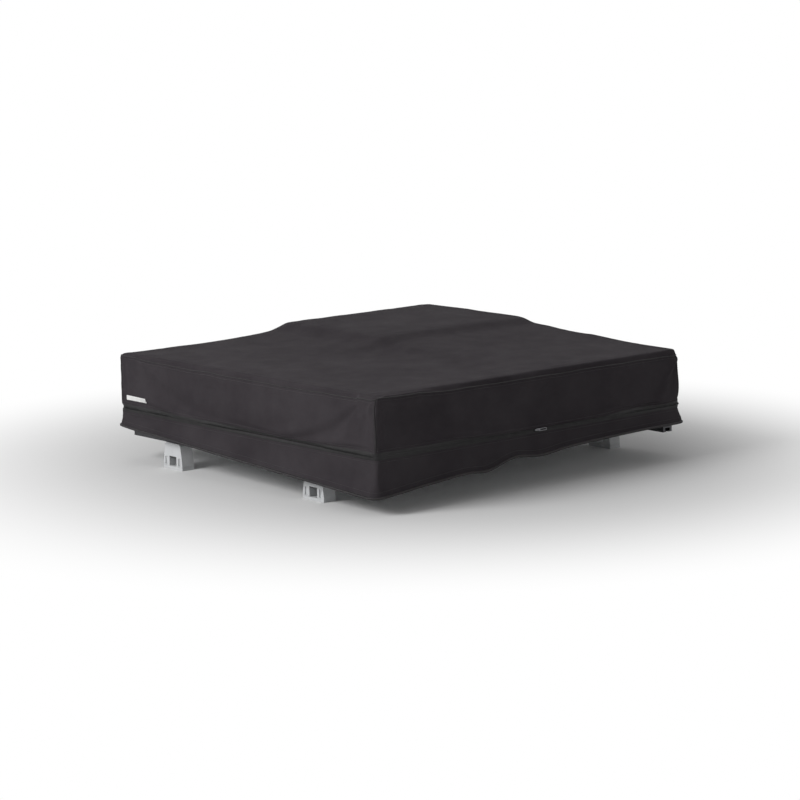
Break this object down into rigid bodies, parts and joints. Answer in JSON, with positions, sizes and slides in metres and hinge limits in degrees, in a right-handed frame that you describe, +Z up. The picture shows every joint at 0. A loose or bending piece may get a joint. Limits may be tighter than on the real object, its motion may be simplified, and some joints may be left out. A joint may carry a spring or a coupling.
{
  "type": "roof top tent",
  "caption": "Soft-shell roof top tent folded for travel under a zip-off cover, with hinged base halves, canopy hoops, telescopic ladder and crossbar clamps.",
  "frame": {"origin": "under the centre of the cover, on the plane that the four crossbar clamps stand on", "axes": "+X across the vehicle away from the hinge side, +Y along the vehicle to its rear, +Z up"},
  "size_m": [1.32, 1.27, 0.3913],
  "materials": {
    "frame_alloy": "black anodised",
    "floor_panel": "matt sandwich sheet",
    "mattress_cloth": "woven",
    "steel": "zinc plated",
    "hinge_alloy": "powder coated",
    "hoop_alloy": "drawn",
    "knuckle_plastic": "moulded",
    "canopy_cloth": "coated canvas",
    "ladder_alloy": "anodised",
    "rubber": "matt",
    "cover_cloth": "matt coated",
    "zip": "woven tape with coil",
    "zip_metal": "satin",
    "label_cloth": "woven",
    "clamp_grey": "light grey powder coat"
  },
  "bodies": {
    "fixed_half": {"lower_side_rails": "frame_alloy", "lower_end_rails": "frame_alloy", "lower_corner_keys": "frame_alloy", "lower_floor_panel": "floor_panel", "lower_mattress": "mattress_cloth", "mount_rails": "frame_alloy", "rail_screws": "steel", "lower_hinge_plates": "hinge_alloy", "lower_hinge_bolts": "steel", "hinge_pins": "steel", "cover_lid": "cover_cloth", "cover_skirt": "cover_cloth", "cover_zip": "zip", "cover_label": "label_cloth", "canopy": "canopy_cloth"},
    "folding_half": {"upper_side_rails": "frame_alloy", "upper_end_rails": "frame_alloy", "upper_corner_keys": "frame_alloy", "upper_floor_panel": "floor_panel", "upper_mattress": "mattress_cloth", "upper_hinge_plates": "hinge_alloy", "upper_hinge_bolts": "steel", "ladder_brackets": "hinge_alloy", "ladder_pins": "steel"},
    "hoop_low": {"hoop_low_tube": "hoop_alloy", "hoop_low_knuckles": "knuckle_plastic"},
    "hoop_mid": {"hoop_mid_tube": "hoop_alloy", "hoop_mid_knuckles": "knuckle_plastic"},
    "hoop_high": {"hoop_high_tube": "hoop_alloy", "hoop_high_knuckles": "knuckle_plastic"},
    "ladder_1": {"ladder_section_1": "ladder_alloy"},
    "ladder_2": {"ladder_section_2": "ladder_alloy"},
    "ladder_3": {"ladder_section_3": "ladder_alloy"},
    "ladder_4": {"ladder_section_4": "ladder_alloy"},
    "ladder_5": {"ladder_section_5": "ladder_alloy"},
    "ladder_6": {"ladder_section_6": "ladder_alloy", "ladder_feet": "rubber"},
    "zip_pull": {"zip_slider": "zip_metal"},
    "clamp_front_left": {"clamp_saddle_front_left": "clamp_grey", "clamp_pad_front_left": "rubber", "clamp_nuts_front_left": "steel"},
    "keeper_front_left": {"clamp_keeper_front_left": "clamp_grey", "clamp_bolts_front_left": "steel"},
    "clamp_front_right": {"clamp_saddle_front_right": "clamp_grey", "clamp_pad_front_right": "rubber", "clamp_nuts_front_right": "steel"},
    "keeper_front_right": {"clamp_keeper_front_right": "clamp_grey", "clamp_bolts_front_right": "steel"},
    "clamp_rear_left": {"clamp_saddle_rear_left": "clamp_grey", "clamp_pad_rear_left": "rubber", "clamp_nuts_rear_left": "steel"},
    "keeper_rear_left": {"clamp_keeper_rear_left": "clamp_grey", "clamp_bolts_rear_left": "steel"},
    "clamp_rear_right": {"clamp_saddle_rear_right": "clamp_grey", "clamp_pad_rear_right": "rubber", "clamp_nuts_rear_right": "steel"},
    "keeper_rear_right": {"clamp_keeper_rear_right": "clamp_grey", "clamp_bolts_rear_right": "steel"}
  },
  "joints": [
    {"name": "unfold", "type": "hinge", "parent": "fixed_half", "child": "folding_half", "pos_m": [-0.622, 0, 0.226], "axis": [0, -1, 0], "range_deg": [0, 179], "deforming": ["cover_lid", "cover_skirt", "cover_zip", "cover_label", "zip_slider", "canopy"]},
    {"name": "hoop_low_swing", "type": "hinge", "parent": "fixed_half", "child": "hoop_low", "pos_m": [-0.622, 0, 0.226], "axis": [0, -1, 0], "range_deg": [0, 45.25]},
    {"name": "hoop_mid_swing", "type": "hinge", "parent": "fixed_half", "child": "hoop_mid", "pos_m": [-0.622, 0, 0.226], "axis": [0, -1, 0], "range_deg": [0, 90]},
    {"name": "hoop_high_swing", "type": "hinge", "parent": "fixed_half", "child": "hoop_high", "pos_m": [-0.622, 0, 0.226], "axis": [0, -1, 0], "range_deg": [0, 134.75]},
    {"name": "ladder_swing", "type": "hinge", "parent": "folding_half", "child": "ladder_1", "pos_m": [0.626, 0.33, 0.369], "axis": [0, 1, 0], "range_deg": [0, 179.5]},
    {"name": "ladder_slide_2", "type": "slide", "parent": "ladder_1", "child": "ladder_2", "axis": [-1, 0, 0], "range_m": [0, 0.251]},
    {"name": "ladder_slide_3", "type": "slide", "parent": "ladder_2", "child": "ladder_3", "axis": [-1, 0, 0], "range_m": [0, 0.251]},
    {"name": "ladder_slide_4", "type": "slide", "parent": "ladder_3", "child": "ladder_4", "axis": [-1, 0, 0], "range_m": [0, 0.251]},
    {"name": "ladder_slide_5", "type": "slide", "parent": "ladder_4", "child": "ladder_5", "axis": [-1, 0, 0], "range_m": [0, 0.251]},
    {"name": "ladder_slide_6", "type": "slide", "parent": "ladder_5", "child": "ladder_6", "axis": [-1, 0, 0], "range_m": [0, 0.251]},
    {"name": "zip_run", "type": "slide", "parent": "fixed_half", "child": "zip_pull", "axis": [1, 0, 0], "range_m": [-0.5, 0.5]},
    {"name": "clamp_place_front_left", "type": "slide", "parent": "fixed_half", "child": "clamp_front_left", "axis": [0, 1, 0], "range_m": [-0.12, 0.12]},
    {"name": "keeper_drop_front_left", "type": "slide", "parent": "clamp_front_left", "child": "keeper_front_left", "axis": [0, 0, -1], "range_m": [0, 0.03]},
    {"name": "clamp_place_front_right", "type": "slide", "parent": "fixed_half", "child": "clamp_front_right", "axis": [0, 1, 0], "range_m": [-0.12, 0.12]},
    {"name": "keeper_drop_front_right", "type": "slide", "parent": "clamp_front_right", "child": "keeper_front_right", "axis": [0, 0, -1], "range_m": [0, 0.03]},
    {"name": "clamp_place_rear_left", "type": "slide", "parent": "fixed_half", "child": "clamp_rear_left", "axis": [0, 1, 0], "range_m": [-0.12, 0.12]},
    {"name": "keeper_drop_rear_left", "type": "slide", "parent": "clamp_rear_left", "child": "keeper_rear_left", "axis": [0, 0, -1], "range_m": [0, 0.03]},
    {"name": "clamp_place_rear_right", "type": "slide", "parent": "fixed_half", "child": "clamp_rear_right", "axis": [0, 1, 0], "range_m": [-0.12, 0.12]},
    {"name": "keeper_drop_rear_right", "type": "slide", "parent": "clamp_rear_right", "child": "keeper_rear_right", "axis": [0, 0, -1], "range_m": [0, 0.03]}
  ],
  "couplings": [
    {"joint": "hoop_low_swing", "follows": "unfold", "ratio": 0.25},
    {"joint": "hoop_mid_swing", "follows": "unfold", "ratio": 0.5},
    {"joint": "hoop_high_swing", "follows": "unfold", "ratio": 0.75},
    {"joint": "ladder_swing", "follows": "unfold", "ratio": 1},
    {"joint": "ladder_slide_2", "follows": "unfold", "m_per_rad": 0.08},
    {"joint": "ladder_slide_3", "follows": "unfold", "m_per_rad": 0.08},
    {"joint": "ladder_slide_4", "follows": "unfold", "m_per_rad": 0.08},
    {"joint": "ladder_slide_5", "follows": "unfold", "m_per_rad": 0.08},
    {"joint": "ladder_slide_6", "follows": "unfold", "m_per_rad": 0.08}
  ]
}
